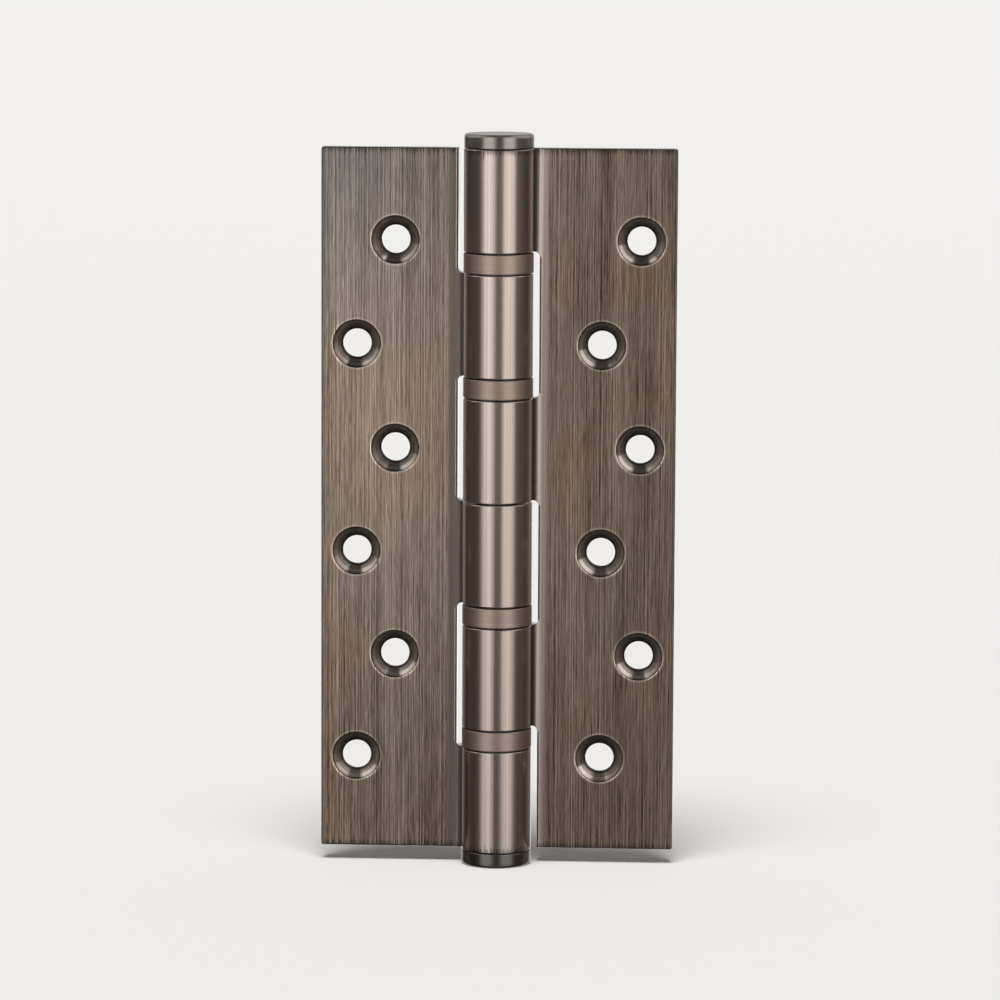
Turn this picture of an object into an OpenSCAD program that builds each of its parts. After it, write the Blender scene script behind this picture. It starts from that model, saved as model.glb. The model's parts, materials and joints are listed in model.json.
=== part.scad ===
// Ball bearing butt hinge, opened flat. Two leaves of one pattern turn on a headed pin, with a
// thrust bearing at four of the five joints between the knuckles and a plug in the lowest knuckle.
// Z runs along the pin, the origin is on it at mid height, and the countersinks face -Y.

/* [Leaves] */
// Height of each leaf
leaf_height = 203; // [180:1:260]
// Width over both leaves, opened flat
open_width = 102; // [90:1:150]
// Thickness of the sheet
sheet_t = 4; // [3.3:0.1:4.6]
// Space between the leaves when the hinge is shut
shut_gap = 2; // [1:0.1:3]
// Radius of the front face where the sheet bends back towards the pin
swage_r = 16; // [12:0.5:20]
// Space between a notch and the knuckle that turns in it
notch_relief = 1.6; // [1.5:0.1:3]
// Radius in the corners of the notches
notch_corner_r = 1.4; // [0.8:0.1:1.8]
// Rounding of the notches' front edges
notch_edge_r = 0.8; // [0.4:0.05:1]
// Rounding of the leaf's other edges
leaf_edge_r = 0.5; // [0.2:0.05:0.8]
// Rounding of the leaf's two outer corners
leaf_corner_r = 0.8; // [0.3:0.1:3]

/* [Screw holes] */
// Bore of the screw holes
hole_d = 8.2; // [7:0.1:10]
// Countersink across the front face
countersink_d = 13.9; // [12:0.1:15]
// Included angle of the countersink
countersink_angle = 90; // [82:1:100]
// Bevel on the rim of the countersink
rim_bevel = 0.2; // [0.1:0.05:0.4]
// Distance along the pin from one hole to the next
hole_pitch = 30; // [24:0.5:34]
// Distance from the outer edge of the leaf to the outer row
outer_row_inset = 10.2; // [8.5:0.1:12]
// Distance between the two rows
row_spacing = 11.1; // [6:0.1:14]

/* [Knuckles] */
// Gap at the middle joint, which has no bearing
plain_gap = 0.3; // [0.2:0.05:0.6]
// Rounding of the knuckle ends
knuckle_edge_r = 0.4; // [0.2:0.05:0.8]
// Gap left where the rolled end closes on the sheet
seam_gap = 0.25; // [0.1:0.05:0.5]

/* [Pin and plug] */
// Diameter of the pin
pin_d = 12; // [9:0.1:14]
// Diameter of the pin head and of the plug
head_d = 20; // [17:0.1:22]
// Height of the pin head and of the plug
head_h = 4.2; // [3:0.1:6]
// Rounding of the head and plug edges at the knuckle
head_edge_r = 0.4; // [0.2:0.05:0.8]
// Rounding of their outer edges
crown_edge_r = 1; // [0.4:0.05:1.5]
// Length of the pin's tapered tip
pin_tip = 3; // [1:0.1:5]
// Length of the plug's stem
plug_stem = 10; // [6:0.5:16]
// Space between the tip of the pin and the plug
tip_gap = 1; // [0.5:0.1:3]

/* [Bearings] */
// Space between two knuckles that hold a bearing
bearing_h = 6.2; // [5:0.1:8]
// Gap above and below the bearing's case
case_gap = 0.3; // [0.15:0.05:0.6]
// Wall of the case
case_wall = 1; // [0.6:0.05:1.2]
// Rounding of the case edges
case_edge_r = 0.3; // [0.1:0.05:0.45]
// Balls in one bearing
ball_count = 12; // [8:1:14]
// Depth of the ball groove in a race
groove_depth = 0.3; // [0.2:0.05:0.4]
// Cage left beside a ball pocket
cage_web = 0.25; // [0.15:0.05:0.35]

/* [Fits] */
// Radial clearance of the pin in the knuckles
pin_clearance = 0.05; // [0.02:0.01:0.1]
// Radial clearance of the races on the pin
race_clearance = 0.15; // [0.1:0.01:0.3]
// Radial clearance of the upper race and the cage in the case
case_clearance = 0.25; // [0.15:0.01:0.35]
// Radial clearance of pressed pieces
press_clearance = 0.02; // [0.01:0.01:0.03]
// Radial clearance of the cage on the pin
cage_clearance = 0.2; // [0.15:0.01:0.3]
// Clearance of the cage from each race
cage_float = 0.15; // [0.1:0.01:0.2]
// Clearance of a ball from each groove
ball_clearance = 0.02; // [0.01:0.01:0.04]
// Clearance of a ball in its pocket
pocket_clearance = 0.05; // [0.03:0.01:0.08]

/* [Hidden] */
$fn = 64;

NODES = concat(
    ["left_leaf", "right_leaf", "hinge_pin", "bottom_plug"],
    [for (b = [1 : 4]) for (piece = ["case", "upper_race", "lower_race", "cage", "balls"]) bearing_node(b, piece)]
);
node = "all";
function bearing_node(b, piece) = str("bearing_", b, "_", piece);
function picked(name) = node == "all" || node == name;

bronze = "#7b6e64";
dark_bronze = "#5c5650";
steel = "#b9bdc2";
brass = "#b5924a";

// Leaf section, seen along the pin: a flat, a swage bend and a knuckle with the sheet's own thickness.
half_width = open_width / 2;
front_y = shut_gap / 2;
back_y = front_y + sheet_t;
pin_r = pin_d / 2;
bore_r = pin_r + pin_clearance;
knuckle_r = bore_r + sheet_t;
notch_x = knuckle_r + notch_relief;

// The bend runs into the flat and into the knuckle, so its centre lies on a line through the pin.
swage_back_r = swage_r - sheet_t;
swage_y = front_y + swage_r;
swage_x = sqrt(pow(bore_r + swage_r, 2) - pow(swage_y, 2));
swage_centre = [swage_x, swage_y];
swage_angle = atan2(swage_y, swage_x);
// The knuckle runs on into the bend by this angle, so that both are one solid.
blend_angle = 4;

// Knuckles are counted from the top, and each joint lies below the knuckle of its number.
knuckle_count = 6;
bearing_joints = [0, 1, 3, 4];
function has_bearing(joint) = len(search(joint, bearing_joints)) > 0;
function joint_height(joint) = has_bearing(joint) ? bearing_h : plain_gap;
function joints_above(k) = k == 0 ? 0 : joint_height(k - 1) + joints_above(k - 1);
knuckle_h = (leaf_height - joints_above(knuckle_count - 1)) / knuckle_count;
function knuckle_top(k) = leaf_height / 2 - k * knuckle_h - joints_above(k);
function knuckle_low(k) = knuckle_top(k) - knuckle_h;

// Screw holes, staggered between two rows.
hole_count = 6;
outer_row_x = half_width - outer_row_inset;
inner_row_x = outer_row_x - row_spacing;
function hole_z(i) = hole_pitch * ((hole_count - 1) / 2 - i);

// Bearing pieces, from the pin outwards.
race_bore_r = pin_r + race_clearance;
cage_bore_r = pin_r + cage_clearance;
case_bore_r = knuckle_r - case_wall;
cage_r = case_bore_r - case_clearance;
pitch_r = (cage_bore_r + cage_r) / 2;
pocket_r = (cage_r - cage_bore_r) / 2 - cage_web;
ball_r = pocket_r - pocket_clearance;
groove_r = ball_r + 2 * ball_clearance;
race_t = bearing_h / 2 - ball_r + groove_depth - ball_clearance;
cage_t = bearing_h - 2 * race_t - 2 * cage_float;
function bearing_low(b) = knuckle_top(bearing_joints[b - 1] + 1);

// Past the surface that a cut starts from.
over = 1;

// What a rounding takes off a corner at [x, y] whose material lies towards side_x and side_y.
module corner_waste(x, y, side_x, side_y, r) {
    translate([x, y])
        mirror([side_x < 0 ? 1 : 0, 0])
            mirror([0, side_y < 0 ? 1 : 0])
                difference() {
                    translate([-r, -r]) square(2 * r);
                    translate([r, r]) circle(r);
                }
}

// A band's section, from radius r_in to r_out, with its outer corners rounded.
module band_section(r_in, r_out, h, edge_r) {
    difference() {
        translate([r_in, 0]) square([r_out - r_in, h]);
        corner_waste(r_out, 0, -1, 1, edge_r);
        corner_waste(r_out, h, -1, -1, edge_r);
    }
}

module flat_section() {
    difference() {
        translate([swage_x, front_y]) square([half_width - swage_x, sheet_t]);
        corner_waste(half_width, front_y, -1, 1, leaf_edge_r);
        corner_waste(half_width, back_y, -1, -1, leaf_edge_r);
    }
}

module swage_section() {
    reach = 2 * swage_r;
    intersection() {
        translate(swage_centre) difference() {
            circle(swage_r);
            circle(swage_back_r);
        }
        polygon([
            swage_centre,
            swage_centre - reach * [cos(swage_angle), sin(swage_angle)],
            swage_centre - [0, reach],
        ]);
    }
}

// The sheet rolls round the pin until its end meets the front of the bend, which leaves a seam.
module knuckle(h) {
    difference() {
        rotate_extrude() band_section(bore_r, knuckle_r, h, knuckle_edge_r);
        translate([0, 0, -over]) linear_extrude(h + 2 * over) intersection() {
            translate(swage_centre) circle(swage_r + seam_gap);
            rotate(swage_angle - blend_angle) translate([0, -2 * knuckle_r]) square([4 * knuckle_r, 2 * knuckle_r]);
        }
    }
}

// Room for the other leaf's knuckle and the bearings beside it.
module notch(low, high) {
    translate([0, knuckle_r, 0]) rotate([90, 0, 0]) linear_extrude(knuckle_r) difference() {
        translate([0, low]) square([notch_x, high - low]);
        corner_waste(notch_x, low, -1, 1, notch_corner_r);
        corner_waste(notch_x, high, -1, -1, notch_corner_r);
    }
}

// What a rounding takes off the notch's edge, where the face of the bend has radius face_r.
// side is 1 at the front, where the material lies inside that radius, and -1 at the back.
module notch_edge_waste(face_r, side, edge_r) {
    round_x = notch_x + edge_r;
    bend = [max(swage_x, round_x), swage_y];
    centre_r = face_r - side * edge_r;
    centre = [round_x, swage_y - sqrt(pow(centre_r, 2) - pow(bend.x - round_x, 2))];
    outside = bend + (centre - bend) * (face_r + side * edge_r) / centre_r;
    difference() {
        polygon([
            centre,
            [notch_x - edge_r, centre.y],
            [notch_x - edge_r, outside.y],
            outside,
        ]);
        translate(centre) circle(edge_r);
    }
}

module notch_edges(low, high) {
    translate([0, 0, low]) linear_extrude(high - low) {
        notch_edge_waste(swage_r, 1, notch_edge_r);
        notch_edge_waste(swage_back_r, -1, leaf_edge_r);
    }
}

// Roundings along the top and bottom edges of the flat.
module end_edges() {
    translate([notch_x, 0, 0]) rotate([90, 0, 90]) linear_extrude(half_width - notch_x + over)
        for (end = [-1, 1]) {
            corner_waste(front_y, end * leaf_height / 2, 1, -end, leaf_edge_r);
            corner_waste(back_y, end * leaf_height / 2, -1, -end, leaf_edge_r);
        }
}

// Roundings of the outer corners, through the sheet.
module outer_corners() {
    translate([0, back_y + over, 0]) rotate([90, 0, 0]) linear_extrude(sheet_t + 2 * over)
        for (end = [-1, 1]) corner_waste(half_width, end * leaf_height / 2, -1, -end, leaf_corner_r);
}

module screw_hole() {
    countersink_r = countersink_d / 2;
    hole_r = hole_d / 2;
    rim_depth = rim_bevel / 2;
    rotate([-90, 0, 0]) rotate_extrude() polygon([
        [0, -over],
        [countersink_r + rim_bevel, -over],
        [countersink_r + rim_bevel, 0],
        [countersink_r, rim_depth],
        [hole_r, rim_depth + (countersink_r - hole_r) / tan(countersink_angle / 2)],
        [hole_r, sheet_t + over],
        [0, sheet_t + over],
    ]);
}

// The leaf on the +X side, which has the top knuckle and every second one below it.
module leaf() {
    bottom = -leaf_height / 2;
    difference() {
        union() {
            translate([0, 0, bottom]) linear_extrude(leaf_height) {
                flat_section();
                swage_section();
            }
            for (k = [0 : 2 : knuckle_count - 1]) translate([0, 0, knuckle_low(k)]) knuckle(knuckle_h);
        }
        for (k = [0 : 2 : knuckle_count - 1]) {
            last = k + 2 >= knuckle_count;
            low = last ? bottom - 2 * notch_corner_r : knuckle_top(k + 2);
            notch(low, knuckle_low(k));
            notch_edges(low + notch_corner_r, knuckle_low(k) - notch_corner_r);
        }
        end_edges();
        outer_corners();
        for (i = [0 : hole_count - 1])
            translate([i % 2 == 0 ? outer_row_x : inner_row_x, front_y, hole_z(i)]) screw_hole();
    }
}

module right_leaf() {
    color(bronze) leaf();
}

module left_leaf() {
    color(bronze) rotate([0, 180, 0]) leaf();
}

// Section of a head that stands on a knuckle's end at y = 0.
module head_section() {
    head_r = head_d / 2;
    difference() {
        square([head_r, head_h]);
        corner_waste(head_r, 0, -1, 1, head_edge_r);
        corner_waste(head_r, head_h, -1, -1, crown_edge_r);
    }
}

// The head rests on the top knuckle, and the tip stops short of the plug.
module hinge_pin() {
    seat = leaf_height / 2;
    tip = -seat + plug_stem + tip_gap;
    color(dark_bronze) rotate_extrude() {
        translate([0, seat]) head_section();
        translate([0, tip + pin_tip]) square([pin_r, seat - tip - pin_tip]);
        polygon([[0, tip], [pin_r / 2, tip], [pin_r, tip + pin_tip], [0, tip + pin_tip]]);
    }
}

module bottom_plug() {
    seat = -leaf_height / 2;
    color(dark_bronze) rotate_extrude() {
        translate([0, seat]) mirror([0, 1]) head_section();
        translate([0, seat]) square([bore_r - press_clearance, plug_stem]);
    }
}

// The visible band round a bearing, pressed on the lower race.
module bearing_case(b) {
    color(bronze) translate([0, 0, bearing_low(b) + case_gap])
        rotate_extrude() band_section(case_bore_r, knuckle_r, bearing_h - 2 * case_gap, case_edge_r);
}

// A race lying on its back at z = 0, with its groove upwards.
module race(outer_r) {
    rotate_extrude() difference() {
        translate([race_bore_r, 0]) square([outer_r - race_bore_r, race_t]);
        translate([pitch_r, race_t - groove_depth + groove_r]) circle(groove_r);
    }
}

module lower_race(b) {
    color(steel) translate([0, 0, bearing_low(b)]) race(case_bore_r - press_clearance);
}

module upper_race(b) {
    color(steel) translate([0, 0, bearing_low(b) + bearing_h]) mirror([0, 0, 1]) race(cage_r);
}

module at_balls(b) {
    for (i = [0 : ball_count - 1])
        rotate(360 / ball_count * i) translate([pitch_r, 0, bearing_low(b) + bearing_h / 2]) children();
}

module cage(b) {
    color(brass) difference() {
        translate([0, 0, bearing_low(b) + (bearing_h - cage_t) / 2])
            rotate_extrude() translate([cage_bore_r, 0]) square([cage_r - cage_bore_r, cage_t]);
        at_balls(b) cylinder(h = cage_t + 2 * over, r = pocket_r, center = true);
    }
}

module balls(b) {
    color(steel) at_balls(b) sphere(ball_r, $fn = 24);
}

if (picked("left_leaf")) left_leaf();
if (picked("right_leaf")) right_leaf();
if (picked("hinge_pin")) hinge_pin();
if (picked("bottom_plug")) bottom_plug();
for (b = [1 : len(bearing_joints)]) {
    if (picked(bearing_node(b, "case"))) bearing_case(b);
    if (picked(bearing_node(b, "upper_race"))) upper_race(b);
    if (picked(bearing_node(b, "lower_race"))) lower_race(b);
    if (picked(bearing_node(b, "cage"))) cage(b);
    if (picked(bearing_node(b, "balls"))) balls(b);
}
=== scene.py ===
"""Ball bearing butt hinge in brushed antique bronze, standing open on a pale studio floor."""
import bpy
import json
from math import cos, pi, radians, sin
from mathutils import Matrix, Vector


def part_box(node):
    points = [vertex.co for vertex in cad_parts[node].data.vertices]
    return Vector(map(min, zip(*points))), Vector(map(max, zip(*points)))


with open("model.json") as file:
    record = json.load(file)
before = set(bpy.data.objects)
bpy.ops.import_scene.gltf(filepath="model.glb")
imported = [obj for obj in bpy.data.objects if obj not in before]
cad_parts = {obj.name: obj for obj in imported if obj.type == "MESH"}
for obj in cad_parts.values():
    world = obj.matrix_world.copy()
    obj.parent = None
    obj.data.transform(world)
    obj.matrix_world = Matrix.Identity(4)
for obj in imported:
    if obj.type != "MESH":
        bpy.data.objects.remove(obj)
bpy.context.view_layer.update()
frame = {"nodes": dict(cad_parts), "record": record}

MM = 0.001

# Places on the hinge, from the frame where it gives them.
knuckle_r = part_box("bearing_1_case")[1].x
leaf_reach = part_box("right_leaf")[1]
plug_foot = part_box("bottom_plug")[0].z
mounts = {mount["name"]: mount for mount in frame["record"]["mounts"]}
screws = mounts["door_leaf_end_screws"]
middle_of_rows, leaf_back = screws["pos_m"][:2]
hole_r = screws["dims"]["hole_r_mm"] * MM
HOLE_PITCH = 30 * MM
HOLES_PER_LEAF = 6
ROW_SPACING = 11.1 * MM
# A countersink's cone, and the bevelled rim round it.
COUNTERSINK_R = 6.95 * MM
RIM_R = 7.15 * MM
NOTCH_X = 11.65 * MM
# The sheet is flat from here outwards; nearer the pin it bends back.
BEND_X = 14.1 * MM


def linear(hex_colour):
    """An sRGB hex colour as linear RGBA."""
    channels = [int(hex_colour[i:i + 2], 16) / 255 for i in (1, 3, 5)]
    return [c / 12.92 if c <= 0.04045 else ((c + 0.055) / 1.055) ** 2.4 for c in channels] + [1.0]


def add_node(tree, kind, output, inputs, stops=(), **settings):
    """Adds a node with its settings, fills its sockets with values or links, and returns one output.
    A colour ramp also takes its stops, each a position and a hex colour."""
    node = tree.nodes.new(f"ShaderNode{kind}")
    for name, value in settings.items():
        setattr(node, name, value)
    for socket, value in inputs.items():
        if isinstance(value, bpy.types.NodeSocket):
            tree.links.new(value, node.inputs[socket])
        else:
            node.inputs[socket].default_value = value
    if stops:
        elements = node.color_ramp.elements
        for position, colour in stops[1:-1]:
            elements.new(position).color = linear(colour)
        for element, (position, colour) in ((elements[0], stops[0]), (elements[-1], stops[-1])):
            element.position = position
            element.color = linear(colour)
    return node.outputs[output] if output is not None else None


def new_material(name):
    """A material with an empty node tree, and that tree."""
    material = bpy.data.materials.new(name)
    material.use_nodes = True
    material.node_tree.nodes.clear()
    return material, material.node_tree


# The direction that tangents take, a little off upright so that level faces have one too.
UPRIGHT = {"X": 0.02, "Y": 0.03, "Z": 1.0}

# The rolled part of a leaf: the knuckles, and the bend beside them. Each fades out between two places.
KNUCKLE_FADE = (knuckle_r + 0.1 * MM, knuckle_r + 0.5 * MM)
BEND_FADE = (BEND_X - 0.6 * MM, BEND_X + 0.6 * MM)


def rolled_part(tree, place, across):
    """How far a point belongs to the rolled part."""
    level_place = add_node(tree, "VectorMath", 0, {0: place, 1: (1, 1, 0)}, operation="MULTIPLY")
    from_pin = add_node(tree, "VectorMath", "Value", {0: level_place}, operation="LENGTH")
    knuckle = add_node(tree, "MapRange", 0, {
        "Value": from_pin, "From Min": KNUCKLE_FADE[0], "From Max": KNUCKLE_FADE[1],
        "To Min": 1.0, "To Max": 0.0}, interpolation_type="SMOOTHSTEP")
    bend = add_node(tree, "MapRange", 0, {
        "Value": across, "From Min": BEND_FADE[0], "From Max": BEND_FADE[1],
        "To Min": 1.0, "To Max": 0.0}, interpolation_type="SMOOTHSTEP")
    return add_node(tree, "Math", 0, {0: knuckle, 1: bend}, operation="MAXIMUM")


def hole_places(tree, x, z):
    """Distance of a point on a leaf from the axis of the screw hole next to it, and the direction round
    that axis. Each hole is in the middle of its stretch of the leaf, and the stretches take the outer and
    the inner row by turns."""
    side = add_node(tree, "Math", 0, {0: x}, operation="SIGN")
    across = add_node(tree, "Math", 0, {0: x}, operation="ABSOLUTE")
    stretch = add_node(tree, "Math", 0, {0: z, 1: HOLE_PITCH}, operation="DIVIDE")
    stretch = add_node(tree, "Math", 0, {0: stretch}, operation="FLOOR")
    odd = add_node(tree, "Math", 0, {0: stretch, 1: 2.0}, operation="FLOORED_MODULO")
    turn = add_node(tree, "Math", 0, {0: odd, 1: -2.0, 2: 1.0}, operation="MULTIPLY_ADD")
    row = add_node(tree, "Math", 0, {0: turn, 1: side}, operation="MULTIPLY")
    row_x = add_node(tree, "Math", 0, {
        0: row, 1: ROW_SPACING / 2, 2: middle_of_rows}, operation="MULTIPLY_ADD")
    hole_x = add_node(tree, "Math", 0, {0: across, 1: row_x}, operation="SUBTRACT")
    hole_z = add_node(tree, "Math", 0, {0: z, 1: HOLE_PITCH}, operation="FLOORED_MODULO")
    hole_z = add_node(tree, "Math", 0, {0: hole_z, 1: HOLE_PITCH / 2}, operation="SUBTRACT")
    hole_place = add_node(tree, "CombineXYZ", 0, {"X": hole_x, "Z": hole_z})
    from_hole = add_node(tree, "VectorMath", "Value", {0: hole_place}, operation="LENGTH")
    ring_x = add_node(tree, "Math", 0, {0: hole_z, 1: -1.0}, operation="MULTIPLY")
    ring_z = add_node(tree, "Math", 0, {0: hole_x, 1: side}, operation="MULTIPLY")
    round_hole = add_node(tree, "CombineXYZ", 0, {"X": ring_x, "Z": ring_z})
    return from_hole, round_hole


# Where a countersink and the worn ring round it, with its painted highlight, end. The back face keeps out
# of both by a margin.
CONE_FADE = (COUNTERSINK_R, COUNTERSINK_R + 0.05 * MM)
RIM_FADE = (RIM_R, RIM_R + 0.5 * MM)
BACK_MARGIN = 0.03 * MM


def countersinks(tree, y, from_middle, from_hole):
    """How far a point lies in a countersink or its bore, and how far within the worn ring round it, which
    also carries a painted highlight.
    """
    by_holes = add_node(tree, "Math", 0, {
        0: from_middle, 1: HOLES_PER_LEAF / 2 * HOLE_PITCH}, operation="LESS_THAN")
    not_back = add_node(tree, "Math", 0, {0: y, 1: leaf_back - BACK_MARGIN}, operation="LESS_THAN")
    drilled = add_node(tree, "Math", 0, {0: by_holes, 1: not_back}, operation="MULTIPLY")
    cone, rim = [
        add_node(tree, "MapRange", 0, {
            "Value": from_hole, "From Min": start, "From Max": end, "To Min": drilled, "To Max": 0.0})
        for start, end in (CONE_FADE, RIM_FADE)]
    return cone, rim


# A painted highlight on the rounded edge of a notch, which faces the pin: its reach across the leaf, how
# far its normal turns to the pin where the highlight begins and where it is full, and how strong it is.
NOTCH_EDGE = (NOTCH_X - 0.2 * MM, NOTCH_X + 1.2 * MM)
NOTCH_TURN = (-0.2, -0.45)
NOTCH_HIGHLIGHT = 0.85


def notch_edge_highlight(tree, x, across):
    """How much painted highlight a point takes on the rounded edge of a notch, which faces the pin."""
    normal = add_node(tree, "TexCoord", "Normal", {})
    normal_x = add_node(tree, "SeparateXYZ", "X", {0: normal})
    side = add_node(tree, "Math", 0, {0: x}, operation="SIGN")
    outwards = add_node(tree, "Math", 0, {0: normal_x, 1: side}, operation="MULTIPLY")
    # The painted highlight follows the edge's normal as it turns towards the pin.
    turned_in = add_node(tree, "MapRange", 0, {
        "Value": outwards, "From Min": NOTCH_TURN[0], "From Max": NOTCH_TURN[1], "To Max": NOTCH_HIGHLIGHT})
    past_knuckle = add_node(tree, "Math", 0, {0: across, 1: NOTCH_EDGE[0]}, operation="GREATER_THAN")
    near_notch = add_node(tree, "Math", 0, {0: across, 1: NOTCH_EDGE[1]}, operation="LESS_THAN")
    there = add_node(tree, "Math", 0, {0: past_knuckle, 1: near_notch}, operation="MULTIPLY")
    return add_node(tree, "Math", 0, {0: turned_in, 1: there}, operation="MULTIPLY")


def stretched_noise(tree, place, width_mm, length_mm):
    """Noise in upright patches of a width and a length."""
    per_width, per_length = 1 / (width_mm * MM), 1 / (length_mm * MM)
    stretched = add_node(tree, "Mapping", 0, {
        "Vector": place, "Scale": (per_width, per_width, per_length)})
    return add_node(tree, "TexNoise", 0, {
        "Vector": stretched, "Scale": 1.0, "Detail": 1.0, "Roughness": 0.6})


# The belt's straight lines: the width of a line, the width and the length of the patches that it shows
# in, all in millimetres, and its weight. The finest set is first.
BELT_LINES = ((0.26, 1, 9, 0.55), (0.31, 1.6, 20, 0.55), (0.42, 2.5, 35, 0.5), (0.6, 4, 60, 0.4))
# The noise at which a patch begins to show its lines, and at which it shows them in full.
LINE_FADE = (0.38, 0.62)
# The belt's softer grain: its width and its length in millimetres, and its weight. The longest is last.
BELT_GRAIN = ((0.3, 4, 0.6), (0.4, 10, 0.7), (4, 90, 0.6), (0.6, 200, 0.3))
MIDDLE_TONE = 0.5
# Lines are counted across the sheet and, more slowly, through it, so that its side edges have them too.
ACROSS_SHEET = (1, 0.6, 0)


def belt_streaks(tree, place):
    """The marks of a brushing belt, as a tone round a half, with its finest lines and its longest grain.
    Straight upright lines fade in and out along the leaf. A belt's grit cuts lines of under 0.1 mm, and
    they are drawn wider than that, to show."""
    over_sheet = add_node(tree, "VectorMath", "Value", {0: place, 1: ACROSS_SHEET}, operation="DOT_PRODUCT")
    tone = MIDDLE_TONE
    line_sets = []
    for line_mm, patch_mm, length_mm, weight in BELT_LINES:
        lines = add_node(tree, "TexNoise", 0, {
            "W": over_sheet, "Scale": 1 / (line_mm * MM), "Detail": 1.0}, noise_dimensions="1D")
        fade = stretched_noise(tree, place, patch_mm, length_mm)
        fade = add_node(tree, "MapRange", 0, {
            "Value": fade, "From Min": LINE_FADE[0], "From Max": LINE_FADE[1], "To Max": 2 * weight})
        shift = add_node(tree, "Math", 0, {0: lines, 1: MIDDLE_TONE}, operation="SUBTRACT")
        tone = add_node(tree, "Math", 0, {0: shift, 1: fade, 2: tone}, operation="MULTIPLY_ADD")
        line_sets.append(lines)
    for width_mm, length_mm, weight in BELT_GRAIN:
        grain = stretched_noise(tree, place, width_mm, length_mm)
        shift = add_node(tree, "Math", 0, {0: grain, 1: MIDDLE_TONE}, operation="SUBTRACT")
        tone = add_node(tree, "Math", 0, {0: shift, 1: weight, 2: tone}, operation="MULTIPLY_ADD")
    return tone, line_sets[0], grain


# The plate's colours from deep streak to light streak, and along the grain of the rolled part.
BROWN_PLATE = ((0.0, "#1e160e"), (0.5, "#665648"), (1.0, "#908173"))
GREY_PLATE = ((0.0, "#322f2c"), (0.5, "#605a55"), (1.0, "#858079"))
ROLLED_PLATE = ((0.2, "#675d55"), (0.8, "#827770"))
# A painted pool of light on the left leaf, where its reflection is brightest, and painted shade away from
# it: its middle, how far it reaches, and what it adds to the tone there and far away.
REFLECTION_MIDDLE = (-33 * MM, 0, 15 * MM)
REFLECTION_FADE = (10 * MM, 80 * MM)
REFLECTION_TONE = (0.11, -0.09)
# The corner where the plate is greyest, how far the grey reaches, and how grey it is.
GREYEST = (-45 * MM, 0, 95 * MM)
GREY_FADE = (10 * MM, 75 * MM)
CORNER_GREY = 0.9
# Greyer patches: their size, the noise at which they begin and are full, and how grey they are.
PATCH_SIZE = 40 * MM
PATCH_FADE = (0.4, 0.7)
PATCH_GREY = 0.5


def plate_colour(tree, place, tone, long_grain, rolled):
    """Brown plate, with a painted pool of light on the left leaf and painted shade away from it, and greyer
    in patches and in one corner. On the rolled part only the longest grain shows."""
    # Painted light: the tone is raised near the left leaf's middle and lowered far from it.
    from_reflection_middle = add_node(tree, "VectorMath", "Value", {0: place, 1: REFLECTION_MIDDLE}, operation="DISTANCE")
    painted_light = add_node(tree, "MapRange", 0, {
        "Value": from_reflection_middle, "From Min": REFLECTION_FADE[0], "From Max": REFLECTION_FADE[1],
        "To Min": REFLECTION_TONE[0], "To Max": REFLECTION_TONE[1]})
    brightened = add_node(tree, "Math", 0, {0: tone, 1: painted_light}, operation="ADD")
    brown = add_node(tree, "ValToRGB", 0, {0: brightened}, BROWN_PLATE)
    grey = add_node(tree, "ValToRGB", 0, {0: brightened}, GREY_PLATE)
    patches = add_node(tree, "TexNoise", 0, {"Vector": place, "Scale": 1 / PATCH_SIZE, "Detail": 2.0})
    patches = add_node(tree, "MapRange", 0, {
        "Value": patches, "From Min": PATCH_FADE[0], "From Max": PATCH_FADE[1], "To Max": PATCH_GREY})
    from_greyest = add_node(tree, "VectorMath", "Value", {0: place, 1: GREYEST}, operation="DISTANCE")
    corner = add_node(tree, "MapRange", 0, {
        "Value": from_greyest, "From Min": GREY_FADE[0], "From Max": GREY_FADE[1],
        "To Min": CORNER_GREY, "To Max": 0.0})
    greyness = add_node(tree, "Math", 0, {0: patches, 1: corner}, operation="MAXIMUM")
    flat = add_node(tree, "MixRGB", 0, {0: greyness, 1: brown, 2: grey})
    smooth = add_node(tree, "ValToRGB", 0, {0: long_grain}, ROLLED_PLATE)
    return add_node(tree, "MixRGB", 0, {0: rolled, 1: flat, 2: smooth})


# The dark skin that the belt leaves along the side edges and at the ends, and dark skin with painted shade
# in
# the crease beside the knuckles: how far from the crease, the side and the end it fades, and how much of it
# there is. At the ends it is ragged, since light streaks run into it.
SKIN_AND_SHADE_COLOUR = "#1a140f"
CREASE_X = knuckle_r + 0.25 * MM
CREASE_FADE, CREASE_SKIN_AND_SHADE = (0.3 * MM, 0.7 * MM), 0.7
SIDE_FADE, SIDE_SKIN = (0.4 * MM, 1.1 * MM), 0.55
END_FADE, END_SKIN = (1.9 * MM, 3.4 * MM), 0.75
RAGGED_LENGTH = 3 * MM


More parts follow.
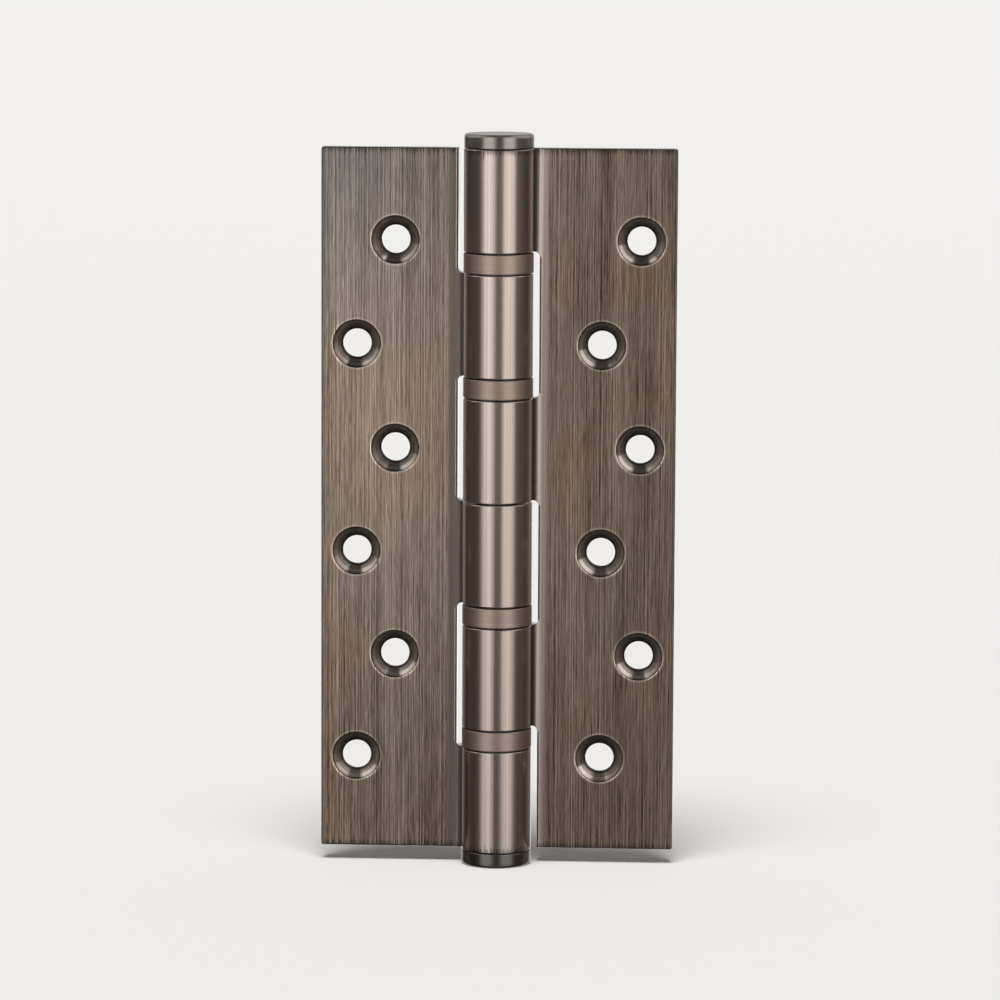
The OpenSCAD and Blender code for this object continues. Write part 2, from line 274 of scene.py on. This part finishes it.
def dark_skin_and_shade(tree, across, from_middle, tone):
    """How much dark skin is left where the belt doesn't reach, along the side edges and at the ends, and in
    the crease beside the knuckles, where painted shade darkens it too."""
    from_crease = add_node(tree, "Math", 0, {0: across, 1: CREASE_X}, operation="SUBTRACT")
    from_crease = add_node(tree, "Math", 0, {0: from_crease}, operation="ABSOLUTE")
    to_side = add_node(tree, "Math", 0, {0: leaf_reach.x, 1: across}, operation="SUBTRACT")
    to_end = add_node(tree, "Math", 0, {0: leaf_reach.z, 1: from_middle}, operation="SUBTRACT")
    to_end = add_node(tree, "Math", 0, {0: tone, 1: RAGGED_LENGTH, 2: to_end}, operation="MULTIPLY_ADD")
    skin_and_shade = 0.0
    # In the crease the darkening is dark skin with painted shade; at the sides and ends it is the dark
    # skin.
    for distance, fade, amount in (
            (from_crease, CREASE_FADE, CREASE_SKIN_AND_SHADE), (to_side, SIDE_FADE, SIDE_SKIN),
            (to_end, END_FADE, END_SKIN)):
        there = add_node(tree, "MapRange", 0, {
            "Value": distance, "From Min": fade[0], "From Max": fade[1], "To Min": amount, "To Max": 0.0})
        skin_and_shade = add_node(tree, "Math", 0, {0: there, 1: skin_and_shade}, operation="MAXIMUM")
    return skin_and_shade


# The plate worn light and painted light on the countersinks' rims, painted light on the notches' edges, and
# how much of it the rims take.
WORN_AND_HIGHLIGHT_COLOUR = "#c8baad"
RIM_WEAR_AND_HIGHLIGHT = 0.6
# A countersink from its bore to its rim: darker by the bore, the cut metal lighter across its middle with a
# painted highlight and the mark where the cutter dwelt, and painted shade at its sharp rim. The cutter's
# rings are finer than this, and are drawn wider, to show.
CONE_COLOURS = (
    (0.05, "#28211b"), (0.25, "#7e746c"), (0.42, "#9e9389"), (0.48, "#5f554d"),
    (0.54, "#b0a59c"), (0.78, "#9e9389"), (0.9, "#342b25"))
CONE_RING_WIDTH = 0.35 * MM
# Streaks cut through to the bronze are smoother than the skin beside them.
SKIN_ROUGH, CUT_ROUGH, ROLLED_ROUGH, CONE_ROUGH = 0.34, 0.25, 0.22, 0.18
GROOVE_DEPTH, ROLLED_DEPTH = 0.008 * MM, 0.0006 * MM
# How far the grooves spread highlights, and the quarter turn from along them to across.
GROOVE_SPREAD, QUARTER_TURN = 0.75, 0.25
LACQUER, LACQUER_ROUGH = 0.6, 0.2


def brushed_bronze():
    """Steel sheet plated with antique bronze, darkened, brushed along the pin and lacquered. The belt cuts
    through the dark skin in fine upright streaks, so the flats are streaked light and dark and spread
    their highlights sideways. The knuckles are smoother, the outer edges keep more of the dark skin, and
    the crease beside the knuckles keeps it too, with painted shade. The countersinks are turned to smooth
    cones with rings, with painted highlight and shade. Their rims are worn light and also painted light,
    the notch edges carry a painted highlight, and a painted pool of light lies on the left leaf."""
    material, tree = new_material("Brushed antique bronze plate on steel")
    place = add_node(tree, "TexCoord", "Object", {})
    x, y, z = [add_node(tree, "SeparateXYZ", axis, {0: place}) for axis in "XYZ"]
    across = add_node(tree, "Math", 0, {0: x}, operation="ABSOLUTE")
    from_middle = add_node(tree, "Math", 0, {0: z}, operation="ABSOLUTE")
    rolled = rolled_part(tree, place, across)
    from_hole, round_hole = hole_places(tree, x, z)
    cone, rim = countersinks(tree, y, from_middle, from_hole)
    tone, fine_lines, long_grain = belt_streaks(tree, place)

    # The plate, under the dark skin and the painted crease shade, the worn and painted-light edges and the
    # turned cones with their painted highlight and shade.
    colour = plate_colour(tree, place, tone, long_grain, rolled)
    skin_and_shade = dark_skin_and_shade(tree, across, from_middle, tone)
    colour = add_node(tree, "MixRGB", 0, {0: skin_and_shade, 1: colour, 2: linear(SKIN_AND_SHADE_COLOUR)})
    # Each countersink's rim is worn light and also carries a painted highlight; the notch edges carry a
    # painted highlight.
    rim = add_node(tree, "Math", 0, {0: rim, 1: tone}, operation="MULTIPLY")
    rim = add_node(tree, "Math", 0, {0: rim, 1: RIM_WEAR_AND_HIGHLIGHT}, operation="MULTIPLY")
    brightened = add_node(tree, "Math", 0, {0: rim, 1: notch_edge_highlight(tree, x, across)}, operation="MAXIMUM")
    colour = add_node(tree, "MixRGB", 0, {0: brightened, 1: colour, 2: linear(WORN_AND_HIGHLIGHT_COLOUR)})
    # The cone's tone from bore to rim, with its painted highlight and painted shade.
    up_cone = add_node(tree, "MapRange", 0, {"Value": from_hole, "From Min": hole_r, "From Max": RIM_R})
    turned = add_node(tree, "ValToRGB", 0, {0: up_cone}, CONE_COLOURS)
    colour = add_node(tree, "MixRGB", 0, {0: cone, 1: colour, 2: turned})

    # The grooves, upright on the sheet and round the hole in the cones.
    roughness = add_node(tree, "MapRange", 0, {"Value": tone, "To Min": SKIN_ROUGH, "To Max": CUT_ROUGH})
    roughness = add_node(tree, "Mix", 0, {"Factor": rolled, "A": roughness, "B": ROLLED_ROUGH})
    roughness = add_node(tree, "Mix", 0, {"Factor": cone, "A": roughness, "B": CONE_ROUGH})
    rings = add_node(tree, "TexNoise", 0, {
        "W": from_hole, "Scale": 1 / CONE_RING_WIDTH, "Detail": 1.0}, noise_dimensions="1D")
    height = add_node(tree, "Mix", 0, {"Factor": cone, "A": fine_lines, "B": rings})
    depth = add_node(tree, "MapRange", 0, {
        "Value": rolled, "To Min": GROOVE_DEPTH, "To Max": ROLLED_DEPTH})
    grooves = add_node(tree, "Bump", 0, {"Strength": 1.0, "Distance": depth, "Height": height})
    along = add_node(tree, "CombineXYZ", 0, UPRIGHT)
    along = add_node(tree, "MixRGB", 0, {0: cone, 1: along, 2: round_hole})
    surface = add_node(tree, "BsdfPrincipled", 0, {
        "Base Color": colour, "Metallic": 1.0, "Roughness": roughness, "Normal": grooves,
        "Anisotropic": GROOVE_SPREAD, "Anisotropic Rotation": QUARTER_TURN, "Tangent": along,
        "Coat Weight": LACQUER, "Coat Roughness": LACQUER_ROUGH})
    add_node(tree, "OutputMaterial", None, {"Surface": surface})
    return material


# How far a ring keeps its shade, how deep it is, and the noise at which it is dark and light.
RING_LENGTH, RING_DEPTH = 30 * MM, 0.001 * MM
RING_SHADES = (0.3, 0.7)


def turned_metal(name, dark, light, smoothest, roughest, ring_mm, spread):
    """Metal turned or ground round the pin's axis: fine rings, between two colours and two roughnesses,
    spread its highlights up and down. Real rings are about 0.1 mm wide or finer, and they are drawn wider
    than that, to show."""
    material, tree = new_material(name)
    place = add_node(tree, "TexCoord", "Object", {})
    per_length, per_ring = 1 / RING_LENGTH, 1 / (ring_mm * MM)
    stretched = add_node(tree, "Mapping", 0, {
        "Vector": place, "Scale": (per_length, per_length, per_ring)})
    rings = add_node(tree, "TexNoise", 0, {
        "Vector": stretched, "Scale": 1.0, "Detail": 3.0, "Roughness": 0.6})
    colour = add_node(tree, "ValToRGB", 0, {0: rings}, ((RING_SHADES[0], dark), (RING_SHADES[1], light)))
    roughness = add_node(tree, "MapRange", 0, {
        "Value": rings, "From Min": RING_SHADES[0], "From Max": RING_SHADES[1],
        "To Min": roughest, "To Max": smoothest})
    grooves = add_node(tree, "Bump", 0, {"Strength": 1.0, "Distance": RING_DEPTH, "Height": rings})
    along = add_node(tree, "CombineXYZ", 0, UPRIGHT)
    surface = add_node(tree, "BsdfPrincipled", 0, {
        "Base Color": colour, "Metallic": 1.0, "Roughness": roughness, "Normal": grooves,
        "Anisotropic": spread, "Tangent": along})
    add_node(tree, "OutputMaterial", None, {"Surface": surface})
    return material


finishes = {
    "leaf_bronze": brushed_bronze(),
    # The bearing cases: dull plate, an even soft brown without bands.
    "bearing_band": turned_metal(
        "Turned antique bronze plate", "#776960", "#7f7269",
        smoothest=0.48, roughest=0.5, ring_mm=0.3, spread=0.3),
    # The pin: satin plate, greyer than the leaves, with soft upright bands.
    "head_bronze": turned_metal(
        "Satin turned dark bronze plate", "#605b56", "#65605b",
        smoothest=0.28, roughest=0.3, ring_mm=0.6, spread=0.2),
    # The plug: the same satin, painted nearer black as shade, where it stands by the floor.
    "shaded_head_bronze": turned_metal(
        "Satin turned dark bronze plate in painted shade", "#484440", "#4d4945",
        smoothest=0.28, roughest=0.3, ring_mm=0.6, spread=0.2),
    # The races and balls: dark bare metal with a sheen of oil.
    "bearing_steel": turned_metal(
        "Ground and oiled bearing steel", "#2a2a2b", "#3a3a3b",
        smoothest=0.3, roughest=0.4, ring_mm=0.3, spread=0.3),
    # The ball cages: bare yellow metal with a soft sheen.
    "cage_brass": turned_metal(
        "Turned brass", "#a08040", "#c4a258",
        smoothest=0.3, roughest=0.4, ring_mm=0.5, spread=0.2),
}
# The plug is of the same metal as the pin's head. It stands in shade by the floor, and its copy of the
# finish is painted darker as that shade.
for subpart in frame["record"]["subparts"]:
    finish = "shaded_head_bronze" if subpart["node"] == "bottom_plug" else subpart["material_slot"]
    for slot in frame["nodes"][subpart["node"]].material_slots:
        slot.material = finishes[finish]

# The camera stands to the right of the hinge and above it, and is turned a little.
CAMERA_AZIMUTH = radians(3.10)
CAMERA_ELEVATION = radians(7.37)
CAMERA_ROLL = radians(0.27)
CAMERA_DISTANCE = 1.452
CAMERA_SIGHT = 200
SENSOR_MM, LENS_MM = 36, 181.7
AIM_RIGHT, AIM_UP = 0.69 * MM, 0.29 * MM


def place_camera():
    """Sets the camera up at its distance from the hinge, with its turn and its aim."""
    away = Vector((
        sin(CAMERA_AZIMUTH) * cos(CAMERA_ELEVATION), -cos(CAMERA_AZIMUTH) * cos(CAMERA_ELEVATION),
        sin(CAMERA_ELEVATION)))
    level = away.cross(Vector((0, 0, -1))).normalized()
    upright = away.cross(level)
    right = level * cos(CAMERA_ROLL) + upright * sin(CAMERA_ROLL)
    up = away.cross(right)
    camera = bpy.data.objects.new("camera", bpy.data.cameras.new("camera"))
    camera.data.sensor_width = SENSOR_MM
    camera.data.lens = LENS_MM
    camera.data.clip_end = CAMERA_SIGHT
    camera.matrix_world = Matrix((right, up, away)).transposed().to_4x4()
    camera.location = away * CAMERA_DISTANCE + right * AIM_RIGHT + up * AIM_UP
    bpy.context.scene.collection.objects.link(camera)
    bpy.context.scene.camera = camera


place_camera()


def stage_mesh(name, points, faces, material):
    """A piece of the studio, which is no part of the hinge."""
    mesh = bpy.data.meshes.new(name)
    mesh.from_pydata(points, [], faces)
    mesh.materials.append(material)
    piece = bpy.data.objects.new(name, mesh)
    bpy.context.scene.collection.objects.link(piece)
    return piece


ONE_FACE = [(0, 1, 2, 3)]


def level_corners(reach, front, back, height):
    """Corners of a level rectangle that reaches as far to the left of the pin as to the right."""
    return [(-reach, front, height), (reach, front, height), (reach, back, height), (-reach, back, height)]


# The floor lies at the plug's foot. Reflections look past it, to the lights.
FLOOR_REACH = 60
# Behind the hinge the floor grows paler, up to this distance.
FLOOR_FAR = 8
FLOOR_PALES = ((0.0, "#f1f0ed"), (0.1, "#f3f2ef"), (1.0, "#f7f6f4"))


def floor_paint():
    """Matt paint, rolled on: even, with no highlights, so that only the shadow marks it."""
    material, tree = new_material("Rolled pale matt paint")
    place = add_node(tree, "TexCoord", "Object", {})
    behind = add_node(tree, "SeparateXYZ", "Y", {0: place})
    behind = add_node(tree, "Math", 0, {0: behind, 1: FLOOR_FAR}, operation="DIVIDE")
    colour = add_node(tree, "ValToRGB", 0, {0: behind}, FLOOR_PALES)
    paint = add_node(tree, "BsdfDiffuse", 0, {"Color": colour})
    add_node(tree, "OutputMaterial", None, {"Surface": paint})
    return material


floor_corners = level_corners(FLOOR_REACH, -FLOOR_REACH, FLOOR_REACH, plug_foot)
floor = stage_mesh("floor", floor_corners, ONE_FACE, floor_paint())
floor.visible_glossy = False

# Cards stand round the hinge and show only in the metal. Heights are from the hinge's middle.
CARD_RADIUS, STRIP_RADIUS, CARD_STEPS = 1.1, 1.09, 16
CARD_FOOT, BACK_TOP, SIDE_TOP, CAMERA_TOP, PANEL_TOP = -1.2, 0, 0.2, 1.2, 2.2
LEFT_GLOW, RIGHT_GLOW, BACK_GLOW = 2.0, 2.2, 1.9


def card(name, points, faces, colour, strength=1.0):
    """A painted card, lit so evenly that it shows as one tone."""
    paper, tree = new_material("Painted card evenly lit")
    glow = add_node(tree, "Emission", 0, {"Color": linear(colour), "Strength": strength})
    add_node(tree, "OutputMaterial", None, {"Surface": glow})
    piece = stage_mesh(name, points, faces, paper)
    for ray in ("camera", "diffuse", "shadow", "transmission"):
        setattr(piece, f"visible_{ray}", False)


def upright_card(name, radius, start_deg, end_deg, low, high, colour, strength=1.0):
    """A card curved round the hinge, from one angle to another to the right of the camera."""
    points, faces = [], []
    for step in range(CARD_STEPS + 1):
        turn = CAMERA_AZIMUTH + radians(start_deg + (end_deg - start_deg) * step / CARD_STEPS)
        points += [(radius * sin(turn), -radius * cos(turn), height) for height in (low, high)]
    for step in range(CARD_STEPS):
        faces.append((2 * step, 2 * step + 2, 2 * step + 3, 2 * step + 1))
    card(name, points, faces, colour, strength)


# Dark cards round the camera and on each side, a lighter strip in front of each side card and a bright
# panel over it, a bright panel behind, and narrow dark cards above and below, for the countersinks.
upright_card("camera_card", CARD_RADIUS, -14, 15, CARD_FOOT, CAMERA_TOP, "#7c7a76")
upright_card("left_card", CARD_RADIUS, -150, -52, CARD_FOOT, SIDE_TOP, "#6a625b")
upright_card("right_card", CARD_RADIUS, 54, 140, CARD_FOOT, SIDE_TOP, "#8e847b")
upright_card("left_strip", STRIP_RADIUS, -119, -99, CARD_FOOT, SIDE_TOP, "#b8aba0")
upright_card("right_strip", STRIP_RADIUS, 105, 126, CARD_FOOT, SIDE_TOP, "#d4c6ba")
upright_card("left_panel", CARD_RADIUS, -125, -65, SIDE_TOP, PANEL_TOP, "#ffffff", LEFT_GLOW)
upright_card("right_panel", CARD_RADIUS, 65, 125, SIDE_TOP, PANEL_TOP, "#ffffff", RIGHT_GLOW)
upright_card("back_panel", CARD_RADIUS, 163, 197, CARD_FOOT, BACK_TOP, "#ffffff", BACK_GLOW)
card("top_card", level_corners(reach=0.45, front=-0.35, back=0.05, height=1.2), ONE_FACE, "#080808")
card("ground_card", level_corners(reach=1.0, front=-0.15, back=0.35, height=-0.6), ONE_FACE, "#080808")

# A tall softbox on each side of the camera lights the metal, from a dim foot to a full upper part.
SOFTBOX_DISTANCE, SOFTBOX_WIDTH, SOFTBOX_HEIGHT = 0.85, 0.6, 1.2
SOFTBOX_RADIANCE = 2.1
DIM_HEIGHT, DIM_SHARE = -0.5, 0.25
FULL_HEIGHT, FULL_SHARE = 0.05, 1.1


def softbox(name, angle_deg):
    """A softbox that faces the hinge. An area light's radiance is a quarter of its power over its area."""
    light = bpy.data.lights.new(name, "AREA")
    light.shape = "RECTANGLE"
    light.size, light.size_y = SOFTBOX_WIDTH, SOFTBOX_HEIGHT
    light.energy = 4 * SOFTBOX_RADIANCE * SOFTBOX_WIDTH * SOFTBOX_HEIGHT
    light.use_nodes = True
    tree = light.node_tree
    tree.nodes.clear()
    place = add_node(tree, "NewGeometry", "Position", {})
    height = add_node(tree, "SeparateXYZ", "Z", {0: place})
    glow = add_node(tree, "MapRange", 0, {
        "Value": height, "From Min": DIM_HEIGHT, "From Max": FULL_HEIGHT,
        "To Min": DIM_SHARE, "To Max": FULL_SHARE})
    emission = add_node(tree, "Emission", 0, {"Strength": glow})
    add_node(tree, "OutputLight", None, {"Surface": emission})
    lamp = bpy.data.objects.new(name, light)
    turn = CAMERA_AZIMUTH + radians(angle_deg)
    lamp.location = (SOFTBOX_DISTANCE * sin(turn), -SOFTBOX_DISTANCE * cos(turn), 0)
    lamp.rotation_euler = (pi / 2, 0, turn)
    lamp.visible_camera = False
    lamp.visible_diffuse = False
    bpy.context.scene.collection.objects.link(lamp)


softbox("left_softbox", -33)
softbox("right_softbox", 34.5)

# A broad light from the front and above lights the floor and throws the soft shadow.
SKYLIGHT_STRENGTH, SKYLIGHT_WIDTH = 2.42, radians(30)
SKYLIGHT_TILT, SKYLIGHT_TURN = radians(18), radians(-4)
skylight = bpy.data.lights.new("floor_light", "SUN")
skylight.energy = SKYLIGHT_STRENGTH
skylight.angle = SKYLIGHT_WIDTH
floor_lamp = bpy.data.objects.new("floor_light", skylight)
floor_lamp.rotation_euler = (SKYLIGHT_TILT, 0, SKYLIGHT_TURN)
floor_lamp.visible_glossy = False
bpy.context.scene.collection.objects.link(floor_lamp)

# The room's light on the floor, as a share of what the camera and the metal see of it.
ROOM_FILL = 0.27


def pale_room():
    """An even pale room, seen by the camera and in the metal; it adds only a little to the floor."""
    world = bpy.data.worlds.new("pale_room")
    world.use_nodes = True
    tree = world.node_tree
    tree.nodes.clear()
    camera_ray = add_node(tree, "LightPath", "Is Camera Ray", {})
    glossy_ray = add_node(tree, "LightPath", "Is Glossy Ray", {})
    clear_ray = add_node(tree, "LightPath", "Is Transmission Ray", {})
    seen = add_node(tree, "Math", 0, {0: camera_ray, 1: glossy_ray}, operation="MAXIMUM")
    seen = add_node(tree, "Math", 0, {0: seen, 1: clear_ray}, operation="MAXIMUM")
    strength = add_node(tree, "MapRange", 0, {"Value": seen, "To Min": ROOM_FILL, "To Max": 1.0})
    room = add_node(tree, "Background", 0, {"Color": linear("#f0eeec"), "Strength": strength})
    add_node(tree, "OutputWorld", None, {"Surface": room})
    world.cycles.sampling_method = "NONE"
    return world


bpy.context.scene.world = pale_room()
bpy.context.scene.view_settings.view_transform = "Standard"
